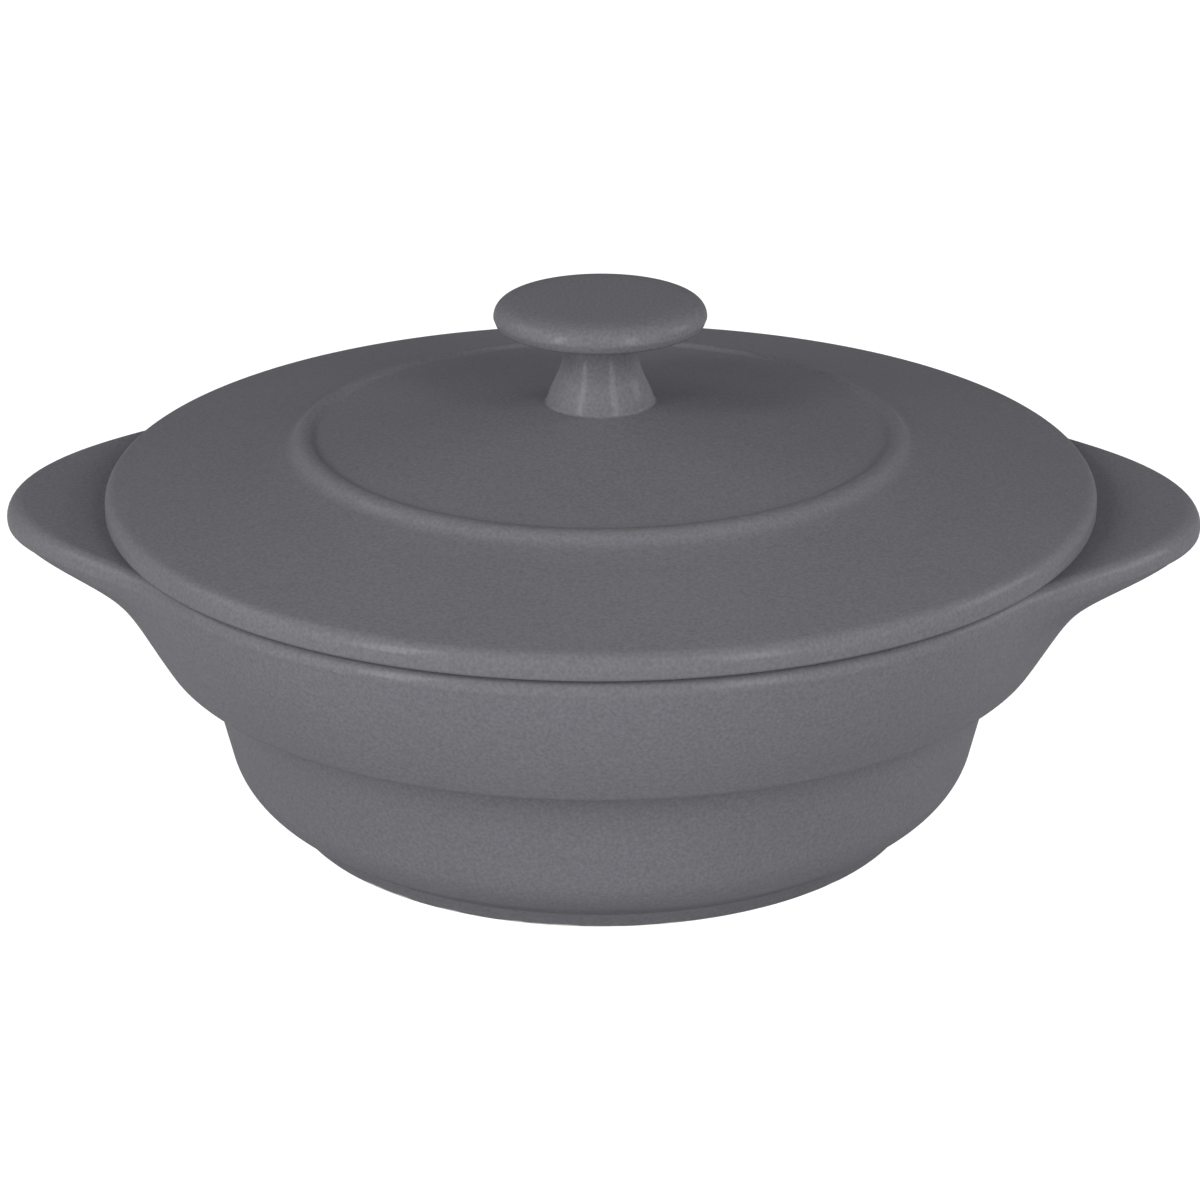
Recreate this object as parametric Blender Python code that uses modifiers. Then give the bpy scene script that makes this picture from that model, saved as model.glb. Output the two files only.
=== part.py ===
"""Lidded porcelain cocotte: a round pot with two lugs, a lift-off lid and the lid's knob.

Metres, +Z up. The origin is the middle of the base, and the lugs lie along X.
"""

import math

import bmesh
import bpy

# Pot, outside: each radius below the rim is given by how far it lies inside the one above
RIM_RADIUS = 0.0795
POT_HEIGHT = 0.0525
RIM_ROUND = 0.0020
BELT_HEIGHT = 0.0295
BELT_INSET = 0.0079
BAND_LEAN = math.radians(8)
BELT_ROUND = 0.0008
LEDGE_WIDTH = 0.0082
LEDGE_FILLET = 0.0015
BOWL_CURVE = 0.0175
HEEL_HEIGHT = 0.0036
HEEL_INSET = 0.0079
FOOT_INSET = 0.0026
FOOT_HEIGHT = 0.0026
FOOT_TAPER = 0.0006
FOOT_ROUND = 0.0005
FOOT_WIDTH = 0.0045
FOOT_RECESS = 0.0020

# Pot, inside
WALL = 0.0045
FLOOR = 0.0045
FLOOR_CURVE = 0.0180
RIM_WIDTH = 0.0060
MOUTH_ROUND = 0.0010
SHELF_ROUND = 0.0030

# Lugs: how far they stand out, half the angle they span, and how their underside falls away
LUG_REACH = 0.0175
LUG_HALF_SPAN = math.radians(36)
LUG_HALF_DEPTH = 0.0057
LUG_SWEEP = 2.2

# Lid, heights above the face that rests on the pot
LID_OVERHANG = 0.0005
LID_EDGE = 0.0041
LID_EDGE_ROUND = 0.0025
LID_LOWER_ROUND = 0.0008
LID_WALL = 0.0040
RIDGE_RADIUS = 0.0475
RIDGE_RISE = 0.0110
RIDGE_STAND = 0.0010
RIDGE_DROP = 0.0014
RIDGE_FLANK = 0.0035
RIDGE_INNER = 0.0022
DISC_BEND = 1.15
SEAT_RISE = 0.0146
SEAT_RADIUS = 0.0098
FLANGE_DEPTH = 0.0050
FLANGE_WIDTH = 0.0040
FLANGE_ROUND = 0.0008
FLANGE_CLEARANCE = 0.0010

# Knob, heights above its foot
KNOB_HEIGHT = 0.0175
CAP_RADIUS = 0.0174
CAP_EDGE = 0.0042
CAP_DOME = 0.0006
STEM_RADIUS = 0.0060
STEM_FOOT_RADIUS = 0.0088
STEM_FOOT_ROUND = 0.0008
STEM_FLARE = 0.0022

# Gap that keeps a resting piece clear of its seat
REST_GAP = 0.0003

# Steps round a full turn
BODY_STEPS = 60
KNOB_STEPS = 36

GLAZE = (0.130, 0.127, 0.142)
GLAZE_ROUGHNESS = 0.42
MERGE = 0.00001


def arc(centre, radii, start, end, steps):
    """Points of an elliptic arc in the profile plane, from one angle in degrees to another."""
    points = []
    for i in range(steps + 1):
        angle = math.radians(start + (end - start) * i / steps)
        r = centre[0] + radii[0] * math.cos(angle)
        z = centre[1] + radii[1] * math.sin(angle)
        points.append((r, z))
    return points


def lug_reach(turn):
    """How far the rim is drawn out past its circle at this angle from +X."""
    from_lug = math.atan2(abs(math.sin(turn)), abs(math.cos(turn)))
    if from_lug >= LUG_HALF_SPAN:
        return 0.0
    return LUG_REACH * math.cos(math.pi / 2 * from_lug / LUG_HALF_SPAN) ** 2


def band_arc():
    """Middle, radius and end angle of the arc that the band above the belt follows."""
    drop = POT_HEIGHT - RIM_ROUND - BELT_HEIGHT
    belt_angle = 2 * math.atan2(BELT_INSET, drop) - BAND_LEAN
    radius = drop / (math.sin(belt_angle) - math.sin(BAND_LEAN))
    middle = (RIM_RADIUS - radius * math.cos(BAND_LEAN), BELT_HEIGHT + radius * math.sin(belt_angle))
    return middle, radius, belt_angle


def lug_share(depth, drop):
    """Share of the lug's reach that is left at this depth, which falls to nothing at the belt."""
    return (1 - (depth / drop) ** 4) / (1 + (depth / LUG_HALF_DEPTH) ** LUG_SWEEP)


def pot_outside(reach):
    """Outer side of the pot from the rim's flat top down to the foot's inner edge."""
    middle, band_radius, belt_angle = band_arc()
    shoulder = POT_HEIGHT - RIM_ROUND
    rim_edge = RIM_RADIUS + reach
    points = arc((rim_edge - RIM_ROUND, shoulder), (RIM_ROUND, RIM_ROUND), 90, 0, 4)
    for i in range(1, 11):
        angle = BAND_LEAN + (belt_angle - BAND_LEAN) * i / 10
        z = middle[1] - band_radius * math.sin(angle)
        share = lug_share(shoulder - z, shoulder - BELT_HEIGHT)
        points.append((middle[0] + band_radius * math.cos(angle) + reach * share, z))
    belt_radius = RIM_RADIUS - BELT_INSET
    nose_r = belt_radius - BELT_ROUND * math.cos(belt_angle)
    nose_z = BELT_HEIGHT + BELT_ROUND * math.sin(belt_angle)
    nose = arc((nose_r, nose_z), (BELT_ROUND, BELT_ROUND), -math.degrees(belt_angle), -90, 2)
    points += nose[1:]
    ledge = nose_z - BELT_ROUND
    bowl_radius = belt_radius - LEDGE_WIDTH
    fillet = (bowl_radius + LEDGE_FILLET, ledge - LEDGE_FILLET)
    points += arc(fillet, (LEDGE_FILLET, LEDGE_FILLET), 90, 180, 3)
    heel_angle = math.acos(1 - HEEL_INSET / BOWL_CURVE)
    bend = HEEL_HEIGHT + BOWL_CURVE * math.sin(heel_angle)
    bowl = (bowl_radius - BOWL_CURVE, bend)
    points += arc(bowl, (BOWL_CURVE, BOWL_CURVE), 0, -math.degrees(heel_angle), 7)
    foot_top = bowl_radius - HEEL_INSET - FOOT_INSET
    foot_edge = foot_top - FOOT_TAPER
    points.append((foot_top, FOOT_HEIGHT))
    points.append((foot_edge, FOOT_ROUND))
    points.append((foot_edge - FOOT_ROUND, 0.0))
    points.append((foot_edge - FOOT_WIDTH, 0.0))
    points.append((foot_edge - FOOT_WIDTH - FOOT_TAPER, FOOT_RECESS))
    return points


def pot_inside():
    """Inner side of the pot from the middle of its floor up to the mouth's rounded edge."""
    middle, band_radius, belt_angle = band_arc()
    inner_band = band_radius - WALL
    bowl_radius = RIM_RADIUS - BELT_INSET - LEDGE_WIDTH - WALL
    heel_angle = math.acos(1 - HEEL_INSET / BOWL_CURVE)
    bend = HEEL_HEIGHT + BOWL_CURVE * math.sin(heel_angle)
    floor = FOOT_RECESS + FLOOR
    points = [(0.0, floor)]
    corner = (bowl_radius - FLOOR_CURVE, bend)
    points += arc(corner, (FLOOR_CURVE, bend - floor), -90, 0, 6)
    shelf_end = middle[0] + inner_band * math.cos(belt_angle)
    shelf = middle[1] - inner_band * math.sin(belt_angle)
    edge = min(SHELF_ROUND, 0.9 * (shelf_end - bowl_radius))
    points += arc((bowl_radius + edge, shelf - edge), (edge, edge), 180, 90, 4)
    mouth = RIM_RADIUS - RIM_WIDTH
    mouth_angle = max(BAND_LEAN, math.acos(min(1.0, (mouth - middle[0]) / inner_band)))
    band = (inner_band, inner_band)
    points += arc(middle, band, -math.degrees(belt_angle), -math.degrees(mouth_angle), 5)
    lip = (mouth + MOUTH_ROUND, POT_HEIGHT - MOUTH_ROUND)
    points += arc(lip, (MOUTH_ROUND, MOUTH_ROUND), 180, 90, 3)
    return points


def pot_section(reach):
    """Half section of the pot: up its inside, over the rim and down its outside."""
    return pot_inside() + pot_outside(reach) + [(0.0, FOOT_RECESS)]


def lid_profile():
    """Half section of the lid: out over its top, round its edge and back along its underside."""
    radius = RIM_RADIUS + LID_OVERHANG
    flank = RIDGE_RADIUS + RIDGE_FLANK
    brim_top = RIDGE_RISE - RIDGE_STAND
    slope = math.atan2(brim_top - LID_EDGE, radius - LID_EDGE_ROUND - flank)
    dip = RIDGE_RISE - RIDGE_DROP
    disc = RIDGE_RADIUS - RIDGE_INNER
    top = [(0.0, SEAT_RISE)]
    for i in range(6):
        r = SEAT_RADIUS + (disc - SEAT_RADIUS) * i / 5
        top.append((r, SEAT_RISE - (SEAT_RISE - dip) * (i / 5) ** DISC_BEND))
    top.append((RIDGE_RADIUS - RIDGE_INNER / 2, RIDGE_RISE - RIDGE_DROP / 4))
    top.append((RIDGE_RADIUS, RIDGE_RISE))
    top.append((RIDGE_RADIUS + RIDGE_FLANK / 2, RIDGE_RISE - RIDGE_STAND / 3))
    top.append((flank, brim_top))
    edge = (radius - LID_EDGE_ROUND, LID_EDGE - LID_EDGE_ROUND)
    rim = arc(edge, (LID_EDGE_ROUND, LID_EDGE_ROUND), 90 - math.degrees(slope), 0, 5)
    lower = (radius - LID_LOWER_ROUND, LID_LOWER_ROUND)
    rim += arc(lower, (LID_LOWER_ROUND, LID_LOWER_ROUND), 0, -90, 2)
    outer = RIM_RADIUS - RIM_WIDTH - FLANGE_CLEARANCE
    inner = outer - FLANGE_WIDTH
    foot = -FLANGE_DEPTH + FLANGE_ROUND
    flange = [(outer, 0.0)]
    flange += arc((outer - FLANGE_ROUND, foot), (FLANGE_ROUND, FLANGE_ROUND), 0, -90, 2)
    flange += arc((inner + FLANGE_ROUND, foot), (FLANGE_ROUND, FLANGE_ROUND), -90, -180, 2)
    brim_at_flange = brim_top - math.tan(slope) * (inner - flank)
    under = [(inner, brim_at_flange - LID_WALL)]
    under.append((flank, brim_top - LID_WALL))
    under.append((disc, dip - LID_WALL))
    under.append((SEAT_RADIUS, SEAT_RISE - LID_WALL))
    under.append((0.0, SEAT_RISE - LID_WALL))
    return top + rim + flange + under


def knob_profile():
    """Half section of the knob: over its cap, down the waisted stem and in across its foot."""
    edge = CAP_EDGE / 2
    cap_top = KNOB_HEIGHT - CAP_DOME
    dome_radius = CAP_RADIUS - edge
    points = []
    for i in range(4):
        share = i / 4
        points.append((dome_radius * share, KNOB_HEIGHT - CAP_DOME * share * share))
    points += arc((dome_radius, cap_top - edge), (edge, edge), 90, -90, 6)
    under = cap_top - CAP_EDGE
    points += arc((STEM_RADIUS + STEM_FLARE, under - STEM_FLARE), (STEM_FLARE, STEM_FLARE), 90, 180, 3)
    waist = under - STEM_FLARE
    for i in range(1, 6):
        share = i / 5
        r = STEM_RADIUS + (STEM_FOOT_RADIUS - STEM_RADIUS) * share**2
        points.append((r, waist + (STEM_FOOT_ROUND - waist) * share))
    points.append((STEM_FOOT_RADIUS - STEM_FOOT_ROUND, 0.0))
    points.append((0.0, 0.0))
    return points


def clear_scene():
    for thing in list(bpy.data.objects):
        bpy.data.objects.remove(thing, do_unlink=True)


def glaze(name):
    """Satin grey glaze, a material of its own for each piece."""
    material = bpy.data.materials.new(name)
    material.use_nodes = True
    shader = material.node_tree.nodes["Principled BSDF"]
    shader.inputs["Base Color"].default_value = (*GLAZE, 1.0)
    shader.inputs["Roughness"].default_value = GLAZE_ROUGHNESS
    shader.inputs["Metallic"].default_value = 0.0
    return material


def finish(piece, collection):
    piece.data.materials.append(glaze(piece.name + "_glaze"))
    piece.data.shade_smooth()
    piece.data.set_sharp_from_angle(angle=math.radians(35))
    collection.objects.link(piece)
    return piece


def lofted(name, sections, collection):
    """Closed skin through half sections that stand at equal angles round Z."""
    skin = bmesh.new()
    ribs = []
    for i, section in enumerate(sections):
        turn = 2 * math.pi * i / len(sections)
        rib = []
        for r, z in section:
            rib.append(skin.verts.new((r * math.cos(turn), r * math.sin(turn), z)))
        ribs.append(rib)
    for rib, after in zip(ribs, ribs[1:] + ribs[:1]):
        for i in range(len(rib) - 1):
            skin.faces.new((rib[i], rib[i + 1], after[i + 1], after[i]))
    bmesh.ops.remove_doubles(skin, verts=skin.verts, dist=MERGE)
    mesh = bpy.data.meshes.new(name)
    skin.to_mesh(mesh)
    skin.free()
    return finish(bpy.data.objects.new(name, mesh), collection)


def turned(name, profile, steps, collection):
    """Profile in the XZ plane, turned about Z."""
    mesh = bpy.data.meshes.new(name)
    edges = [(i, i + 1) for i in range(len(profile) - 1)]
    mesh.from_pydata([(r, 0.0, z) for r, z in profile], edges, [])
    piece = finish(bpy.data.objects.new(name, mesh), collection)
    screw = piece.modifiers.new("Turn", "SCREW")
    screw.axis = "Z"
    screw.steps = steps
    screw.render_steps = steps
    screw.use_merge_vertices = True
    screw.merge_threshold = MERGE
    screw.use_smooth_shade = True
    return piece


def main():
    clear_scene()
    cocotte = bpy.data.collections.new("cocotte")
    bpy.context.scene.collection.children.link(cocotte)
    sections = []
    for i in range(BODY_STEPS):
        sections.append(pot_section(lug_reach(2 * math.pi * i / BODY_STEPS)))
    lofted("pot", sections, cocotte)
    lid = turned("lid", lid_profile(), BODY_STEPS, cocotte)
    lid.location.z = POT_HEIGHT + REST_GAP
    knob = turned("knob", knob_profile(), KNOB_STEPS, cocotte)
    knob.parent = lid
    knob.location.z = SEAT_RISE + REST_GAP


main()
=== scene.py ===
"""Looks of the lidded cocotte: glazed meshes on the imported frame, a pale floor, soft light, a camera."""

import math

import bmesh
import bpy
from mathutils import Matrix, Vector


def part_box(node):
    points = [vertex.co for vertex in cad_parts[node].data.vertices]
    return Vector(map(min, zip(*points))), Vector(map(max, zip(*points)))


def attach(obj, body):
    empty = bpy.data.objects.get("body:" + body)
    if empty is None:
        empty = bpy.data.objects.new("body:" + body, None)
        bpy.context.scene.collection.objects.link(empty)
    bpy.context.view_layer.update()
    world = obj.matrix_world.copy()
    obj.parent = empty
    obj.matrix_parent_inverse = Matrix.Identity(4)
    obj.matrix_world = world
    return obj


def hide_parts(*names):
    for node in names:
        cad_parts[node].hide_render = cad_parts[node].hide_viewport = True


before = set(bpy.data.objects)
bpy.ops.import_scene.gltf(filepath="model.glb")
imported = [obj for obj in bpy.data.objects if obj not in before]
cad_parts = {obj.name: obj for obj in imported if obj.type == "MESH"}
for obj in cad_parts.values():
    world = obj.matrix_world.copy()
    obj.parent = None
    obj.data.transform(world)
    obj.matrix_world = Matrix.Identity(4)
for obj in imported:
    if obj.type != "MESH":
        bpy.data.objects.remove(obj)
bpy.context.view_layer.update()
pot_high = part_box("pot")[1]
lid_low, lid_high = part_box("lid")
knob_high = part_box("knob")[1]

# Sizes read from the frame, in metres
RIM_RADIUS = pot_high.y
POT_HEIGHT = pot_high.z
LUG_REACH = pot_high.x - pot_high.y
LID_RADIUS = lid_high.x
FLANGE_FOOT = lid_low.z
SEAT = lid_high.z
CAP_RADIUS = knob_high.x

# Pot, outside
RIM_ROUND = 0.0021
BELT_HEIGHT = 0.0312
BELT_INSET = 0.0071
BELT_RADIUS = RIM_RADIUS - BELT_INSET
BELT_ROUND = 0.0020
BAND_LEAN = math.radians(10.5)
BOWL_RADIUS = 0.0657
BOWL_LEAN = math.radians(13.3)
BOWL_CURVE = 0.0110
LEDGE_FILLET = 0.0016
HEEL_RADIUS = 0.0549
HEEL_HEIGHT = 0.0042
HEEL_ROUND = 0.0007
HEEL_ROOM = math.radians(3)
FOOT_INSET = 0.0020
FOOT_RADIUS = HEEL_RADIUS - FOOT_INSET
FOOT_HEIGHT = 0.0026
FOOT_TAPER = 0.0010
FOOT_WIDTH = 0.0045
FOOT_RECESS = 0.0020
FOOT_ROUND = 0.0004

# Lugs: half the angle they span, the round of their edge, and how their underside falls away
LUG_HALF_SPAN = math.radians(36)
LUG_ROUND = 0.0031
LUG_HALF_DEPTH = 0.0057
LUG_SWEEP = 3.0
LUG_FADE = 4

# Pot, inside
WALL = 0.0045
POT_FLOOR_WALL = 0.0045
POT_FLOOR = FOOT_RECESS + POT_FLOOR_WALL
POT_FLOOR_CURVE = 0.0115
RIM_WIDTH = 0.0060
MOUTH_ROUND = 0.0012
SHELF_ROUND = 0.0030

# Lid
REST_GAP = 0.0003
LID_REST = POT_HEIGHT + REST_GAP
LID_EDGE = 0.0038
LID_EDGE_ROUND = 0.0024
LID_LOWER_ROUND = 0.0006
LID_WALL = 0.0040
FLANGE_CLEARANCE = 0.0010
FLANGE_RADIUS = RIM_RADIUS - RIM_WIDTH - FLANGE_CLEARANCE
FLANGE_WIDTH = 0.0040
FLANGE_FILLET = 0.0008
FLANGE_ROUND = 0.0010
HOLLOW_FILLET = 0.0030
HOLLOW_CURVE = 0.0300
CROWN_CURVE = 0.0100
RIDGE_RADIUS = 0.0474
RIDGE_RISE = 0.0112
CREST_SPAN = 0.0010

# Ridge on the lid: degrees of fall outward, at distances from its crest
RIDGE_FALLS = (
    (-0.0026, 8.0),
    (-0.0020, 4.0),
    (-0.0014, -16.0),
    (-0.0009, -24.0),
    (-0.0003, -4.0),
    (0.0004, 7.0),
    (0.0011, 27.0),
    (0.0017, 43.0),
    (0.0022, 42.0),
    (0.0029, 26.0),
    (0.0040, 14.0),
    (0.0075, 11.5),
)

# Knob
SEAT_LIFT = 0.0012
STEM_FOOT = SEAT + SEAT_LIFT
DISC_FALL = math.radians(8)
CAP_TRIM = 0.0003
CAP_WIDE = CAP_RADIUS - CAP_TRIM
CAP_STAND = 0.0142
CAP_MIDDLE = STEM_FOOT + CAP_STAND
CAP_RISE = 0.0030
CAP_FULLNESS = 10.0
CAP_DROP = 0.0013
CAP_TUCK = 0.0005
CAP_LIP = 0.0006
NECK_RADIUS = 0.0058
NECK_ROUND = 0.0026
STEM_FOOT_RADIUS = 0.0086
STEM_BELLY = 1.4
STEM_LEAN = math.radians(8)
JOINT_ROUND = 0.0006
JOINT_DEPTH = 0.0004

# How finely the round pieces are cut
BODY_STEPS = 288
KNOB_STEPS = 144
LONGEST_SPAN = 0.0014
SHORTEST_SPAN = 0.00005
WELD = 0.000001
STRAIGHT_TURN = 0.001
SPAN_SHARE = 0.49
ROUND_STEPS = 8
RIM_STEPS = 12
RIM_TOP_STEPS = 13
BAND_ROWS = 64
BELT_STEPS = 6
BOWL_STEPS = 20
INNER_BAND_STEPS = 16
SHELF_STEPS = 3
MOUTH_STEPS = 6
RIDGE_STEPS = 6
CAP_STEPS = 40
NECK_STEPS = 10
STEM_ROWS = 30
JOINT_STEPS = 14

# Glaze tones, in scene-linear colour
GLAZE_TONE = (0.112, 0.110, 0.123)
GLAZE_THIN_TONE = (0.113, 0.108, 0.117)
BISCUIT_TONE = (0.52, 0.49, 0.45)

# Radius of an outward edge at which the glaze runs thinnest
THIN_ROUND = 0.001

# Spans of a noise that stand for its whole change: the narrower, the crisper its patches
SOFT_SPAN = (0.2, 0.8)
COMMON_SPAN = (0.25, 0.75)
CRISP_SPAN = (0.3, 0.7)

# Finer layers in a noise
SMOOTH = 1
GRAINY = 2
CLOUDY = 3

# Glaze pattern: patches to the metre, and what each does to the tone
THIN_PATCH_SCALE = 260
THIN_PATCHES = (0.4, 1.0)
MOTTLE_SCALE = 22
MOTTLE_TONES = (0.96, 1.04)
GRAIN_SCALE = 1900
GRAIN_TONES = (0.84, 1.16)
SPECK_SCALE = 500
SPECK_EDGE = (0.08, 0.18)
SPECK_CHOICE = (0.86, 0.95)
SPECK_DARKNESS = 0.18

# Glaze surface
GLAZE_ROUGHNESS = 0.66
GLAZE_SPECULAR = 0.2
GLAZE_SHEEN = 0.075
SHEEN_ROUGHNESS = 0.14
CLOUD_SCALE = 35
CLOUD_ROUGHNESS = (-0.04, 0.04)
CLOUD_SHEEN = (1.2, 0.8)
FINE_SCALE = 1400
FINE_ROUGHNESS = (-0.03, 0.03)
PEEL_SCALE = 700
WAVE_SCALE = 60
WAVE_HEIGHT = 2.0
PEEL_STRENGTH = 0.25
PEEL_DEPTH = 0.0001

# Bare rings: how high foot and flange are bare, and how far under the glazed knob its line lies
FOOT_BARE = 0.0002
FLANGE_BARE = 0.0008
KNOB_BARE_DEPTH = 0.0100
BARE_WAVER_SCALE = 160
BARE_WAVER = 0.0003
BARE_BLUR = 0.00008
BISCUIT_DULLNESS = 0.45

# Studio floor
STUDIO_RADIUS = 4.0
STUDIO_STEPS = 96
STUDIO_TONE = (0.64, 0.64, 0.64, 1.0)
STUDIO_ROUGHNESS = 0.9
STUDIO_SPECULAR = 0.1
STUDIO_GLOW = 1.30
STUDIO_GLOW_SHARE = 0.78

# Light: degrees round and above the pot, distance and size in metres, and watts
WHITE = (1.0, 1.0, 1.0, 1.0)
SKY_STRENGTH = 0.14
LIGHT_DISTANCE = 1.5
STRIP = (0.35, 1.2)
FILL = (0.6, 0.6)
UNDER_DISTANCE = 0.4
UNDER_PANEL = (0.3, 0.3)
SOFTBOXES = (
    ("left_strip", -44, 21, LIGHT_DISTANCE, STRIP, 21.0),
    ("right_strip", 36, 21, LIGHT_DISTANCE, STRIP, 17.4),
    ("left_fill", -98, 32, LIGHT_DISTANCE, FILL, 5.5),
    ("right_fill", 103, 23, LIGHT_DISTANCE, FILL, 8.9),
    ("under_light", 0, -90, UNDER_DISTANCE, UNDER_PANEL, 1.0),
)

# Camera, at the photograph's place
CAMERA_TURN = math.radians(2.6)
CAMERA_REACH = 0.5717
CAMERA_HEIGHT = 0.2592
CAMERA_PITCH = math.radians(21.50)
CAMERA_PAN = math.radians(-0.02)
CAMERA_ROLL = math.radians(-0.2)
CAMERA_LENS = 112.07
CAMERA_SENSOR = 36.0


def arc(centre, radii, start, end, steps):
    """Points of an elliptic arc in the profile plane, from one angle in degrees to another."""
    points = []
    for i in range(steps + 1):
        angle = math.radians(start + (end - start) * i / steps)
        points.append((centre[0] + radii[0] * math.cos(angle), centre[1] + radii[1] * math.sin(angle)))
    return points


def rounded(corners):
    """Line through corners (r, z, round), with each corner turned into an arc of its radius."""
    line = [corners[0][:2]]
    for before, corner, after in zip(corners, corners[1:], corners[2:]):
        here = Vector(corner[:2])
        back = Vector(before[:2]) - here
        on = Vector(after[:2]) - here
        turn = math.pi - back.angle(on)
        if corner[2] == 0.0 or turn < STRAIGHT_TURN:
            line.append(tuple(here))
            continue
        reach = min(corner[2] * math.tan(turn / 2), SPAN_SHARE * back.length, SPAN_SHARE * on.length)
        start = here + back.normalized() * reach
        end = here + on.normalized() * reach
        pull = math.cos(turn / 2)
        for i in range(ROUND_STEPS + 1):
            s = i / ROUND_STEPS
            shares = ((1 - s) ** 2, 2 * s * (1 - s) * pull, s * s)
            point = (start * shares[0] + here * shares[1] + end * shares[2]) / sum(shares)
            line.append(tuple(point))
    line.append(corners[-1][:2])
    return line


def spaced(line):
    """The same line with its long spans cut into short ones, so that shading stays even."""
    points = [line[0]]
    for (r0, z0), (r1, z1) in zip(line, line[1:]):
        cuts = max(1, math.ceil(math.hypot(r1 - r0, z1 - z0) / LONGEST_SPAN))
        for i in range(1, cuts + 1):
            points.append((r0 + (r1 - r0) * i / cuts, z0 + (z1 - z0) * i / cuts))
    return points


def lug_reach(turn):
    """How far the rim is drawn out past its circle at this angle from +X."""
    from_lug = math.atan2(abs(math.sin(turn)), abs(math.cos(turn)))
    if from_lug >= LUG_HALF_SPAN:
        return 0.0
    return LUG_REACH * math.cos(math.pi / 2 * from_lug / LUG_HALF_SPAN) ** 2


def lug_share(depth):
    """Share of the lug's reach that is left at this depth under the rim's shoulder."""
    drop = POT_HEIGHT - RIM_ROUND - BELT_HEIGHT
    return (1 - (depth / drop) ** LUG_FADE) / (1 + (depth / LUG_HALF_DEPTH) ** LUG_SWEEP)


def band_arc():
    """Middle, radius and end angle of the arc that the band above the belt follows."""
    drop = POT_HEIGHT - RIM_ROUND - BELT_HEIGHT
    end = 2 * math.atan2(RIM_RADIUS - BELT_RADIUS, drop) - BAND_LEAN
    radius = drop / (math.sin(end) - math.sin(BAND_LEAN))
    middle = (RIM_RADIUS - radius * math.cos(BAND_LEAN), BELT_HEIGHT + radius * math.sin(end))
    return middle, radius, end


def bowl_wall():
    """Top of the bowl's straight wall under the belt, and the directions down it and in through it."""
    ledge = BELT_HEIGHT - BELT_ROUND * (1 - math.sin(band_arc()[2]))
    down = Vector((-math.sin(BOWL_LEAN), -math.cos(BOWL_LEAN)))
    inward = Vector((-math.cos(BOWL_LEAN), math.sin(BOWL_LEAN)))
    return Vector((BOWL_RADIUS, ledge)), down, inward


def pot_outside(reach):
    """Outer side of the pot, from the rim's flat top down to the foot's recess."""
    middle, radius, end = band_arc()
    edge = RIM_ROUND + (LUG_ROUND - RIM_ROUND) * reach / LUG_REACH
    shoulder = POT_HEIGHT - RIM_ROUND
    start = math.asin((middle[1] - POT_HEIGHT + edge) / (radius - edge))
    rim = (RIM_RADIUS + reach - edge, POT_HEIGHT - edge)
    line = arc(rim, (edge, edge), 90, -math.degrees(start), RIM_STEPS)
    for i in range(1, BAND_ROWS):
        angle = start + (end - start) * i / BAND_ROWS
        z = middle[1] - radius * math.sin(angle)
        share = lug_share(max(0.0, shoulder - z))
        line.append((middle[0] + radius * math.cos(angle) + reach * share, z))
    nose = (BELT_RADIUS - BELT_ROUND * math.cos(end), BELT_HEIGHT + BELT_ROUND * math.sin(end))
    line += arc(nose, (BELT_ROUND, BELT_ROUND), -math.degrees(end), -90, BELT_STEPS)
    top, down, inward = bowl_wall()
    to_heel = Vector((HEEL_RADIUS, HEEL_HEIGHT)) - top
    bend = math.acos(1 - to_heel.dot(inward) / BOWL_CURVE)
    curve_start = top + down * (to_heel.dot(down) - BOWL_CURVE * math.sin(bend))
    line += rounded([(*line[-1], 0.0), (*top, LEDGE_FILLET), (*curve_start, 0.0)])[1:-1]
    # The curve stops short of the heel, to leave room for the heel's own round
    curve_middle = curve_start + inward * BOWL_CURVE
    curve_end = math.degrees(BOWL_LEAN + bend - HEEL_ROOM)
    line += arc(curve_middle, (BOWL_CURVE, BOWL_CURVE), -math.degrees(BOWL_LEAN), -curve_end, BOWL_STEPS)
    foot_edge = FOOT_RADIUS - FOOT_TAPER
    inner_edge = foot_edge - FOOT_WIDTH
    line += rounded(
        [
            (*line[-1], 0.0),
            (HEEL_RADIUS, HEEL_HEIGHT, HEEL_ROUND),
            (FOOT_RADIUS, FOOT_HEIGHT, FOOT_ROUND),
            (foot_edge, 0.0, FOOT_ROUND),
            (inner_edge, 0.0, FOOT_ROUND),
            (inner_edge - FOOT_TAPER, FOOT_RECESS, FOOT_ROUND),
            (0.0, FOOT_RECESS, 0.0),
        ]
    )[1:]
    return line


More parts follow.
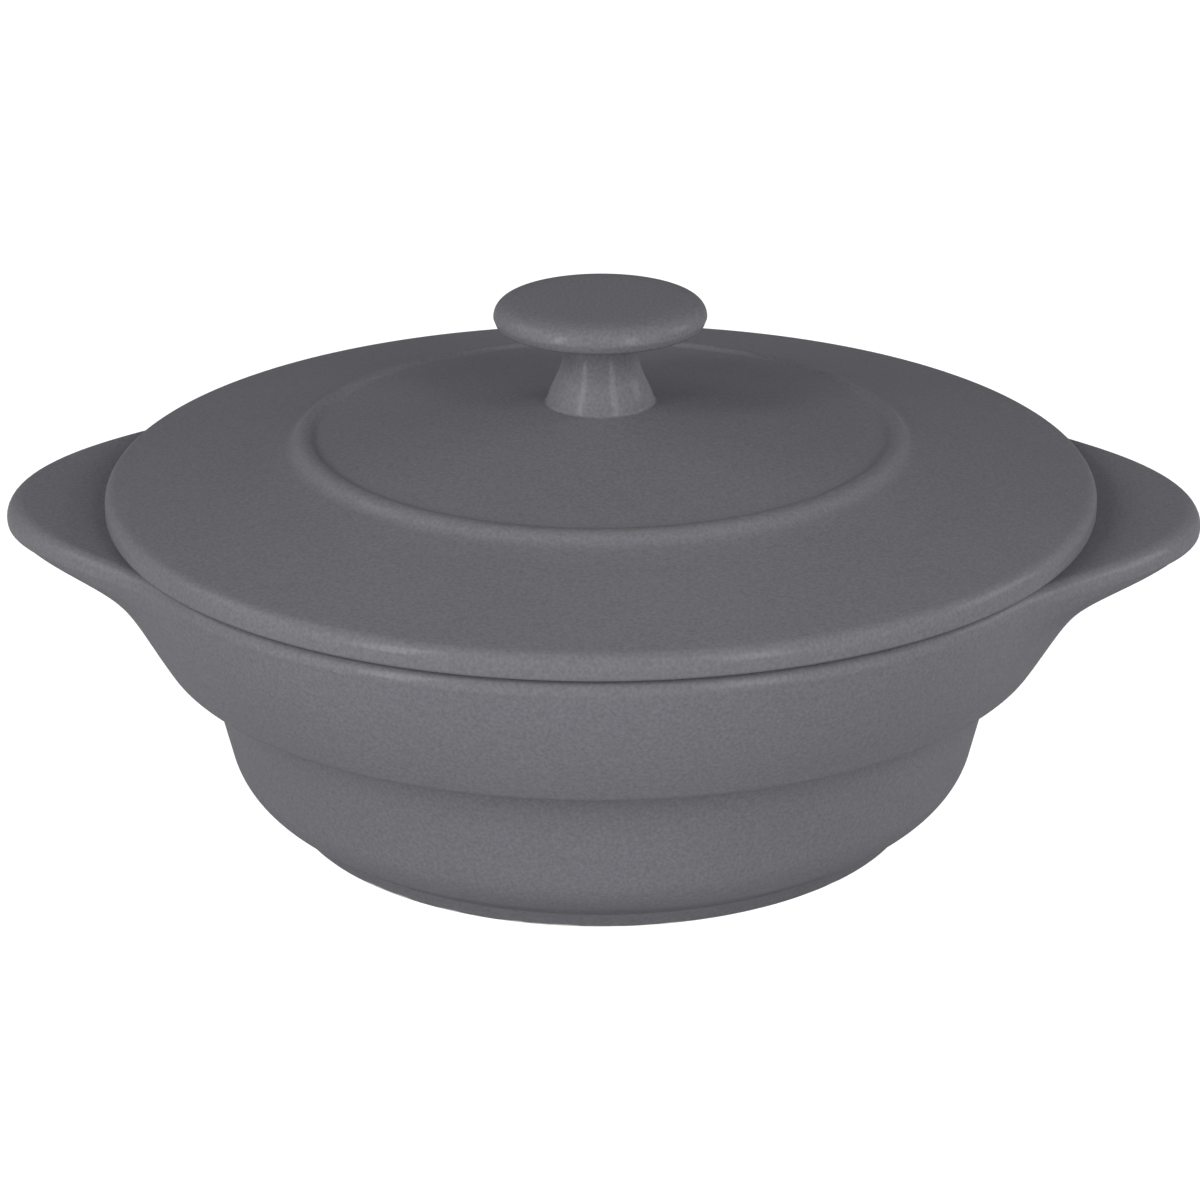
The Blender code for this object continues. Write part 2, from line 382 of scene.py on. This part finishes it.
def pot_inside():
    """Inner side of the pot, from the middle of its floor up to the mouth's rounded lip."""
    middle, radius, end = band_arc()
    inner_band = radius - WALL
    mouth = RIM_RADIUS - RIM_WIDTH
    shelf_end = middle[0] + inner_band * math.cos(end)
    shelf = middle[1] - inner_band * math.sin(end)
    top, _, inward = bowl_wall()
    wall = top + inward * WALL
    shelf_start = wall.x + (shelf - wall.y) * math.tan(BOWL_LEAN)
    floor_end = wall.x + (POT_FLOOR - wall.y) * math.tan(BOWL_LEAN)
    step = [
        (0.0, POT_FLOOR, 0.0),
        (floor_end, POT_FLOOR, POT_FLOOR_CURVE),
        (shelf_start, shelf, SHELF_ROUND),
        (shelf_end, shelf, SHELF_ROUND),
    ]
    mouth_angle = math.acos((mouth - middle[0]) / inner_band)
    ends = (-math.degrees(end), -math.degrees(mouth_angle))
    band = arc(middle, (inner_band, inner_band), *ends, INNER_BAND_STEPS)
    line = rounded(step + [(*band[SHELF_STEPS], 0.0)])
    line += band[SHELF_STEPS + 1:]
    lip = (mouth + MOUTH_ROUND, POT_HEIGHT - MOUTH_ROUND)
    line += arc(lip, (MOUTH_ROUND, MOUTH_ROUND), 180, 90, MOUTH_STEPS)
    return line


def ridge_top(crest):
    """Points over the ridge from the disc to the brim, found by adding up its falls."""
    points = [(RIDGE_RADIUS + RIDGE_FALLS[0][0], 0.0)]
    for (start, fall), (end, next_fall) in zip(RIDGE_FALLS, RIDGE_FALLS[1:]):
        step = (end - start) / RIDGE_STEPS
        for i in range(RIDGE_STEPS):
            angle = math.radians(fall + (next_fall - fall) * (i + 0.5) / RIDGE_STEPS)
            points.append((points[-1][0] + step, points[-1][1] - step * math.tan(angle)))
    lift = crest - max(z for r, z in points if r > RIDGE_RADIUS - CREST_SPAN)
    return [(r, z + lift) for r, z in points]


def lid_line():
    """Half section of the lid: out over its top, round its edge and back along its underside."""
    ridge = ridge_top(LID_REST + RIDGE_RISE)
    brim, brim_top = ridge[-1]
    disc, disc_low = ridge[0]
    edge_top = LID_REST + LID_EDGE
    slope = (brim_top - edge_top) / (LID_RADIUS - brim)
    flange_inner = FLANGE_RADIUS - FLANGE_WIDTH
    under_brim = brim_top - slope * (flange_inner - brim) - LID_WALL
    middle = [
        (0.0, STEM_FOOT, 0.0),
        (STEM_FOOT_RADIUS, STEM_FOOT, 0.0),
        (disc, disc_low, 0.0),
    ]
    edge = [
        (brim, brim_top, 0.0),
        (LID_RADIUS, edge_top, LID_EDGE_ROUND),
        (LID_RADIUS, LID_REST, LID_LOWER_ROUND),
        (FLANGE_RADIUS, LID_REST, FLANGE_FILLET),
        (FLANGE_RADIUS, FLANGE_FOOT, FLANGE_ROUND),
        (flange_inner, FLANGE_FOOT, FLANGE_ROUND),
        (flange_inner, under_brim, HOLLOW_FILLET),
        (brim, brim_top - LID_WALL, HOLLOW_CURVE),
        (disc, disc_low - LID_WALL, HOLLOW_CURVE),
        (STEM_FOOT_RADIUS, STEM_FOOT - LID_WALL, CROWN_CURVE),
        (0.0, STEM_FOOT - LID_WALL, 0.0),
    ]
    return rounded(middle)[:-1] + ridge[:-1] + rounded(edge)


def knob_line():
    """Half section of the knob: over its cap, down the flaring stem and in under its foot."""
    line = []
    for i in range(CAP_STEPS):
        angle = math.pi / 2 * i / CAP_STEPS
        r = CAP_WIDE * math.sin(angle) ** (2 / CAP_FULLNESS)
        line.append((r, CAP_MIDDLE + CAP_RISE * math.cos(angle)))
    under_cap = CAP_MIDDLE - CAP_DROP
    neck = under_cap - NECK_ROUND
    neck_turn = arc((NECK_RADIUS + NECK_ROUND, neck), (NECK_ROUND, NECK_ROUND), 90, 180, NECK_STEPS)
    lip = [
        (CAP_WIDE, CAP_MIDDLE, 0.0),
        (CAP_WIDE - CAP_TUCK, under_cap, CAP_LIP),
        (*neck_turn[0], 0.0),
    ]
    line += rounded(lip)[:-1] + neck_turn
    start = math.pi + STEM_LEAN
    end = 3 * math.pi / 2 - DISC_FALL
    joint_width = JOINT_ROUND * (math.cos(end) - math.cos(start))
    joint_rise = JOINT_ROUND * (math.sin(start) - math.sin(end)) - joint_width * math.tan(DISC_FALL)
    blend = STEM_FOOT + joint_rise
    for i in range(1, STEM_ROWS):
        share = i / STEM_ROWS
        flare = share**2 + STEM_BELLY * share**4 * (1 - share)
        r = NECK_RADIUS + (STEM_FOOT_RADIUS - NECK_RADIUS) * flare
        line.append((r, neck + (blend - neck) * share))
    middle = (STEM_FOOT_RADIUS - JOINT_ROUND * math.cos(start), blend - JOINT_ROUND * math.sin(start))
    line += arc(middle, (JOINT_ROUND, JOINT_ROUND), math.degrees(start), math.degrees(end), JOINT_STEPS)
    joint, joint_low = line[-1]
    line.append((joint, joint_low - JOINT_DEPTH))
    line.append((0.0, joint_low - JOINT_DEPTH))
    return line


def thinning(line):
    """How thin the glaze runs at each point of a line: most on sharp outward turns."""
    masks = [0.0]
    for (r0, z0), (r1, z1), (r2, z2) in zip(line, line[1:], line[2:]):
        before = math.atan2(z1 - z0, r1 - r0)
        after = math.atan2(z2 - z1, r2 - r1)
        turn = (before - after + math.pi) % (2 * math.pi) - math.pi
        length = (math.hypot(r1 - r0, z1 - z0) + math.hypot(r2 - r1, z2 - z1)) / 2
        masks.append(min(1.0, max(0.0, turn / max(length, SHORTEST_SPAN) * THIN_ROUND)))
    return masks + [0.0]


def lofted(name, lines):
    """Closed skin through half sections that stand at equal angles round Z."""
    skin = bmesh.new()
    thin = skin.verts.layers.float.new("glaze_thin")
    ribs = []
    for i, line in enumerate(lines):
        turn = 2 * math.pi * i / len(lines)
        rib = []
        for (r, z), mask in zip(line, thinning(line)):
            point = skin.verts.new((r * math.cos(turn), r * math.sin(turn), z))
            point[thin] = mask
            rib.append(point)
        ribs.append(rib)
    for rib, after in zip(ribs, ribs[1:] + ribs[:1]):
        for i in range(len(rib) - 1):
            skin.faces.new((rib[i], rib[i + 1], after[i + 1], after[i]))
    bmesh.ops.remove_doubles(skin, verts=skin.verts, dist=WELD)
    mesh = bpy.data.meshes.new(name)
    skin.to_mesh(mesh)
    skin.free()
    mesh.shade_smooth()
    piece = bpy.data.objects.new(name, mesh)
    bpy.context.scene.collection.objects.link(piece)
    return piece


def group(name, inputs, outputs):
    """Empty shader group with named sockets, and its two end nodes."""
    tree = bpy.data.node_groups.new(name, "ShaderNodeTree")
    for label, kind, value in inputs:
        socket = tree.interface.new_socket(label, in_out="INPUT", socket_type=kind)
        socket.default_value = value
    for label, kind in outputs:
        tree.interface.new_socket(label, in_out="OUTPUT", socket_type=kind)
    return tree, tree.nodes.new("NodeGroupInput"), tree.nodes.new("NodeGroupOutput")


def noise(tree, place, scale, detail):
    """Soft noise of so many patches to the metre."""
    node = tree.nodes.new("ShaderNodeTexNoise")
    node.inputs["Scale"].default_value = scale
    node.inputs["Detail"].default_value = detail
    tree.links.new(place, node.inputs["Vector"])
    return node.outputs["Fac"]


def math_node(tree, operation, first, second):
    """Result of one step of arithmetic on two values, each a number or a socket."""
    node = tree.nodes.new("ShaderNodeMath")
    node.operation = operation
    for socket, value in zip(node.inputs, (first, second)):
        if isinstance(value, (int, float)):
            socket.default_value = value
        else:
            tree.links.new(value, socket)
    return node.outputs["Value"]


def spread(tree, value, span, result):
    """Maps a value from one span to another, held at the ends."""
    node = tree.nodes.new("ShaderNodeMapRange")
    for label, number in zip(("From Min", "From Max", "To Min", "To Max"), (*span, *result)):
        node.inputs[label].default_value = number
    tree.links.new(value, node.inputs["Value"])
    return node.outputs["Result"]


def mixed(tree, share, first, second):
    """Colour between two others, each a plain colour or a socket."""
    node = tree.nodes.new("ShaderNodeMix")
    node.data_type = "RGBA"
    tree.links.new(share, node.inputs["Factor"])
    for label, value in (("A", first), ("B", second)):
        socket = next(s for s in node.inputs if s.name == label and s.type == "RGBA")
        if isinstance(value, tuple):
            socket.default_value = value
        else:
            tree.links.new(value, socket)
    return next(s for s in node.outputs if s.type == "RGBA")


def mixed_shaders(tree, share, first, second):
    """Surface between two others."""
    node = tree.nodes.new("ShaderNodeMixShader")
    tree.links.new(share, node.inputs["Fac"])
    tree.links.new(first, node.inputs[1])
    tree.links.new(second, node.inputs[2])
    return node.outputs["Shader"]


def glaze_tone_group():
    """Colour of the fired glaze: slow mottling, fine grain and a few iron specks, thinner on edges."""
    tree, given, made = group(
        "glaze_tone",
        [
            ("Tone", "NodeSocketColor", (*GLAZE_TONE, 1.0)),
            ("Thin Tone", "NodeSocketColor", (*GLAZE_THIN_TONE, 1.0)),
        ],
        [("Color", "NodeSocketColor")],
    )
    place = tree.nodes.new("ShaderNodeTexCoord").outputs["Object"]
    edge = tree.nodes.new("ShaderNodeAttribute")
    edge.attribute_name = "glaze_thin"
    patches = spread(tree, noise(tree, place, THIN_PATCH_SCALE, CLOUDY), CRISP_SPAN, THIN_PATCHES)
    thin = math_node(tree, "MULTIPLY", edge.outputs["Fac"], patches)
    tone = mixed(tree, thin, given.outputs["Tone"], given.outputs["Thin Tone"])
    slow = spread(tree, noise(tree, place, MOTTLE_SCALE, CLOUDY), COMMON_SPAN, MOTTLE_TONES)
    grain = spread(tree, noise(tree, place, GRAIN_SCALE, GRAINY), COMMON_SPAN, GRAIN_TONES)
    specks = tree.nodes.new("ShaderNodeTexVoronoi")
    specks.inputs["Scale"].default_value = SPECK_SCALE
    tree.links.new(place, specks.inputs["Vector"])
    near = spread(tree, specks.outputs["Distance"], SPECK_EDGE, (1.0, 0.0))
    chosen = spread(tree, specks.outputs["Color"], SPECK_CHOICE, (0.0, SPECK_DARKNESS))
    dark = math_node(tree, "SUBTRACT", 1.0, math_node(tree, "MULTIPLY", near, chosen))
    shade = math_node(tree, "MULTIPLY", math_node(tree, "MULTIPLY", slow, grain), dark)
    scaled = tree.nodes.new("ShaderNodeVectorMath")
    scaled.operation = "SCALE"
    tree.links.new(tone, scaled.inputs[0])
    tree.links.new(shade, scaled.inputs["Scale"])
    tree.links.new(scaled.outputs["Vector"], made.inputs["Color"])
    return tree


def glaze_skin_group():
    """Surface of the fired glaze: roughness and sheen that drift, and a fine orange-peel height."""
    tree, given, made = group(
        "glaze_skin",
        [("Roughness", "NodeSocketFloat", GLAZE_ROUGHNESS), ("Sheen", "NodeSocketFloat", GLAZE_SHEEN)],
        [("Roughness", "NodeSocketFloat"), ("Sheen", "NodeSocketFloat"), ("Height", "NodeSocketFloat")],
    )
    place = tree.nodes.new("ShaderNodeTexCoord").outputs["Object"]
    cloud = noise(tree, place, CLOUD_SCALE, CLOUDY)
    drift = spread(tree, cloud, COMMON_SPAN, CLOUD_ROUGHNESS)
    fine = spread(tree, noise(tree, place, FINE_SCALE, GRAINY), SOFT_SPAN, FINE_ROUGHNESS)
    total = math_node(tree, "ADD", given.outputs["Roughness"], math_node(tree, "ADD", drift, fine))
    tree.links.new(total, made.inputs["Roughness"])
    shine = spread(tree, cloud, COMMON_SPAN, CLOUD_SHEEN)
    wet = math_node(tree, "MULTIPLY", given.outputs["Sheen"], shine)
    tree.links.new(wet, made.inputs["Sheen"])
    peel = noise(tree, place, PEEL_SCALE, GRAINY)
    wave = math_node(tree, "MULTIPLY", noise(tree, place, WAVE_SCALE, SMOOTH), WAVE_HEIGHT)
    tree.links.new(math_node(tree, "ADD", peel, wave), made.inputs["Height"])
    return tree


def bare_edge_group():
    """Mask of the bare ring that a piece stands on in the kiln, up to a wavering line."""
    tree, given, made = group(
        "bare_edge",
        [("Line", "NodeSocketFloat", 0.0), ("Waver", "NodeSocketFloat", BARE_WAVER)],
        [("Mask", "NodeSocketFloat")],
    )
    place = tree.nodes.new("ShaderNodeTexCoord").outputs["Object"]
    parts = tree.nodes.new("ShaderNodeSeparateXYZ")
    tree.links.new(place, parts.inputs["Vector"])
    swing = spread(tree, noise(tree, place, BARE_WAVER_SCALE, CLOUDY), SOFT_SPAN, (-1.0, 1.0))
    waver = math_node(tree, "MULTIPLY", swing, given.outputs["Waver"])
    line = math_node(tree, "ADD", given.outputs["Line"], waver)
    below = math_node(tree, "SUBTRACT", line, parts.outputs["Z"])
    tree.links.new(spread(tree, below, (-BARE_BLUR, BARE_BLUR), (0.0, 1.0)), made.inputs["Mask"])
    return tree


def placed(tree, shared):
    """Node that puts a shared group into a material."""
    node = tree.nodes.new("ShaderNodeGroup")
    node.node_tree = shared
    return node


def glaze(name, groups, bare_line):
    """Satin grey glaze that stops at a bare ring of biscuit below the given height."""
    material = bpy.data.materials.new(name)
    material.use_nodes = True
    tree = material.node_tree
    shader = tree.nodes["Principled BSDF"]
    shader.inputs["Specular IOR Level"].default_value = GLAZE_SPECULAR
    shader.inputs["Coat Roughness"].default_value = SHEEN_ROUGHNESS
    tone = placed(tree, groups["tone"])
    skin = placed(tree, groups["skin"])
    bare = placed(tree, groups["bare"])
    bare.inputs["Line"].default_value = bare_line
    colour = mixed(tree, bare.outputs["Mask"], tone.outputs["Color"], (*BISCUIT_TONE, 1.0))
    tree.links.new(colour, shader.inputs["Base Color"])
    dull = math_node(tree, "MULTIPLY", bare.outputs["Mask"], BISCUIT_DULLNESS)
    tree.links.new(math_node(tree, "ADD", skin.outputs["Roughness"], dull), shader.inputs["Roughness"])
    tree.links.new(skin.outputs["Sheen"], shader.inputs["Coat Weight"])
    bump = tree.nodes.new("ShaderNodeBump")
    bump.inputs["Strength"].default_value = PEEL_STRENGTH
    bump.inputs["Distance"].default_value = PEEL_DEPTH
    tree.links.new(skin.outputs["Height"], bump.inputs["Height"])
    tree.links.new(bump.outputs["Normal"], shader.inputs["Normal"])
    return material


def add_piece(piece, body, node, material):
    """Gives a piece its glaze, and puts it on its body in place of its solid."""
    piece.data.materials.append(material)
    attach(piece, body)
    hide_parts(node)


def build_cocotte():
    """Pot, lid and knob, each in its own glaze."""
    groups = {"tone": glaze_tone_group(), "skin": glaze_skin_group(), "bare": bare_edge_group()}
    inside = pot_inside()
    lip = inside[-1][0]
    sections = []
    for i in range(BODY_STEPS):
        outside = pot_outside(lug_reach(2 * math.pi * i / BODY_STEPS))
        rim_top = []
        for j in range(1, RIM_TOP_STEPS):
            rim_top.append((lip + (outside[0][0] - lip) * j / RIM_TOP_STEPS, POT_HEIGHT))
        sections.append(spaced(inside) + rim_top + outside)
    pot = lofted("glazed_pot", sections)
    add_piece(pot, "pot", "pot", glaze("pot_satin_glaze", groups, FOOT_BARE))
    lid = lofted("glazed_lid", [spaced(lid_line())] * BODY_STEPS)
    add_piece(lid, "lid", "lid", glaze("lid_satin_glaze", groups, FLANGE_FOOT + FLANGE_BARE))
    knob = lofted("glazed_knob", [spaced(knob_line())] * KNOB_STEPS)
    add_piece(knob, "lid", "knob", glaze("knob_satin_glaze", groups, SEAT - KNOB_BARE_DEPTH))


def floor_skin():
    """Pale floor paint that looks near white and can be seen through from below."""
    material = bpy.data.materials.new("studio_floor")
    material.use_nodes = True
    tree = material.node_tree
    shader = tree.nodes["Principled BSDF"]
    shader.inputs["Base Color"].default_value = STUDIO_TONE
    shader.inputs["Roughness"].default_value = STUDIO_ROUGHNESS
    shader.inputs["Specular IOR Level"].default_value = STUDIO_SPECULAR
    bright = tree.nodes.new("ShaderNodeEmission")
    bright.inputs["Strength"].default_value = STUDIO_GLOW
    ray = tree.nodes.new("ShaderNodeLightPath")
    seen = math_node(tree, "MULTIPLY", ray.outputs["Is Camera Ray"], STUDIO_GLOW_SHARE)
    lifted = mixed_shaders(tree, seen, shader.outputs["BSDF"], bright.outputs["Emission"])
    clear = tree.nodes.new("ShaderNodeBsdfTransparent")
    side = tree.nodes.new("ShaderNodeNewGeometry")
    whole = mixed_shaders(tree, side.outputs["Backfacing"], lifted, clear.outputs["BSDF"])
    tree.links.new(whole, tree.nodes["Material Output"].inputs["Surface"])
    return material


def build_floor():
    """Round studio floor, left open under the foot ring so that light reaches the pot's underside."""
    sheet = bmesh.new()
    turns = [2 * math.pi * i / STUDIO_STEPS for i in range(STUDIO_STEPS)]
    rings = []
    for radius in (FOOT_RADIUS - FOOT_TAPER - FOOT_ROUND, STUDIO_RADIUS):
        rings.append([sheet.verts.new((radius * math.cos(a), radius * math.sin(a), 0.0)) for a in turns])
    inner, outer = rings
    for i in range(STUDIO_STEPS):
        sheet.faces.new((inner[i - 1], outer[i - 1], outer[i], inner[i]))
    mesh = bpy.data.meshes.new("studio_floor")
    sheet.to_mesh(mesh)
    sheet.free()
    floor = bpy.data.objects.new("studio_floor", mesh)
    bpy.context.scene.collection.objects.link(floor)
    mesh.materials.append(floor_skin())


def add_softbox(name, turn, lift, distance, size, power):
    """Area light that faces the pot from a direction given in degrees round and above it."""
    light = bpy.data.lights.new(name, "AREA")
    light.shape = "RECTANGLE"
    light.size, light.size_y = size
    light.energy = power
    lamp = bpy.data.objects.new(name, light)
    a = math.radians(turn)
    e = math.radians(lift)
    back = Vector((math.sin(a) * math.cos(e), -math.cos(a) * math.cos(e), math.sin(e)))
    lamp.location = Vector((0.0, 0.0, POT_HEIGHT)) + back * distance
    lamp.rotation_mode = "QUATERNION"
    lamp.rotation_quaternion = (-back).to_track_quat("-Z", "Y")
    lamp.visible_camera = False
    bpy.context.scene.collection.objects.link(lamp)


def build_light():
    """Dim sky that the camera sees as a white backdrop, and the softboxes."""
    world = bpy.data.worlds.new("studio")
    world.use_nodes = True
    tree = world.node_tree
    sky = tree.nodes["Background"]
    sky.inputs["Color"].default_value = WHITE
    sky.inputs["Strength"].default_value = SKY_STRENGTH
    backdrop = tree.nodes.new("ShaderNodeBackground")
    backdrop.inputs["Color"].default_value = WHITE
    seen = tree.nodes.new("ShaderNodeLightPath").outputs["Is Camera Ray"]
    whole = mixed_shaders(tree, seen, sky.outputs["Background"], backdrop.outputs["Background"])
    tree.links.new(whole, tree.nodes["World Output"].inputs["Surface"])
    bpy.context.scene.world = world
    for softbox in SOFTBOXES:
        add_softbox(*softbox)
    bpy.context.scene.view_settings.view_transform = "Standard"


def build_camera():
    """Long lens that looks down on the pot from the front."""
    lens = bpy.data.cameras.new("camera")
    lens.lens = CAMERA_LENS
    lens.sensor_width = CAMERA_SENSOR
    camera = bpy.data.objects.new("camera", lens)
    ahead = CAMERA_TURN - CAMERA_PAN
    level = Vector((-math.sin(ahead), math.cos(ahead), 0.0))
    forward = level * math.cos(CAMERA_PITCH) - Vector((0.0, 0.0, math.sin(CAMERA_PITCH)))
    right = forward.cross(Vector((0.0, 0.0, 1.0))).normalized()
    up = right.cross(forward)
    tilted_right = right * math.cos(CAMERA_ROLL) + up * math.sin(CAMERA_ROLL)
    tilted_up = up * math.cos(CAMERA_ROLL) - right * math.sin(CAMERA_ROLL)
    turned = Matrix((tilted_right, tilted_up, -forward)).transposed().to_4x4()
    east = CAMERA_REACH * math.sin(CAMERA_TURN)
    south = CAMERA_REACH * math.cos(CAMERA_TURN)
    camera.matrix_world = Matrix.Translation((east, -south, CAMERA_HEIGHT)) @ turned
    bpy.context.scene.collection.objects.link(camera)
    bpy.context.scene.camera = camera


build_cocotte()
build_floor()
build_light()
build_camera()
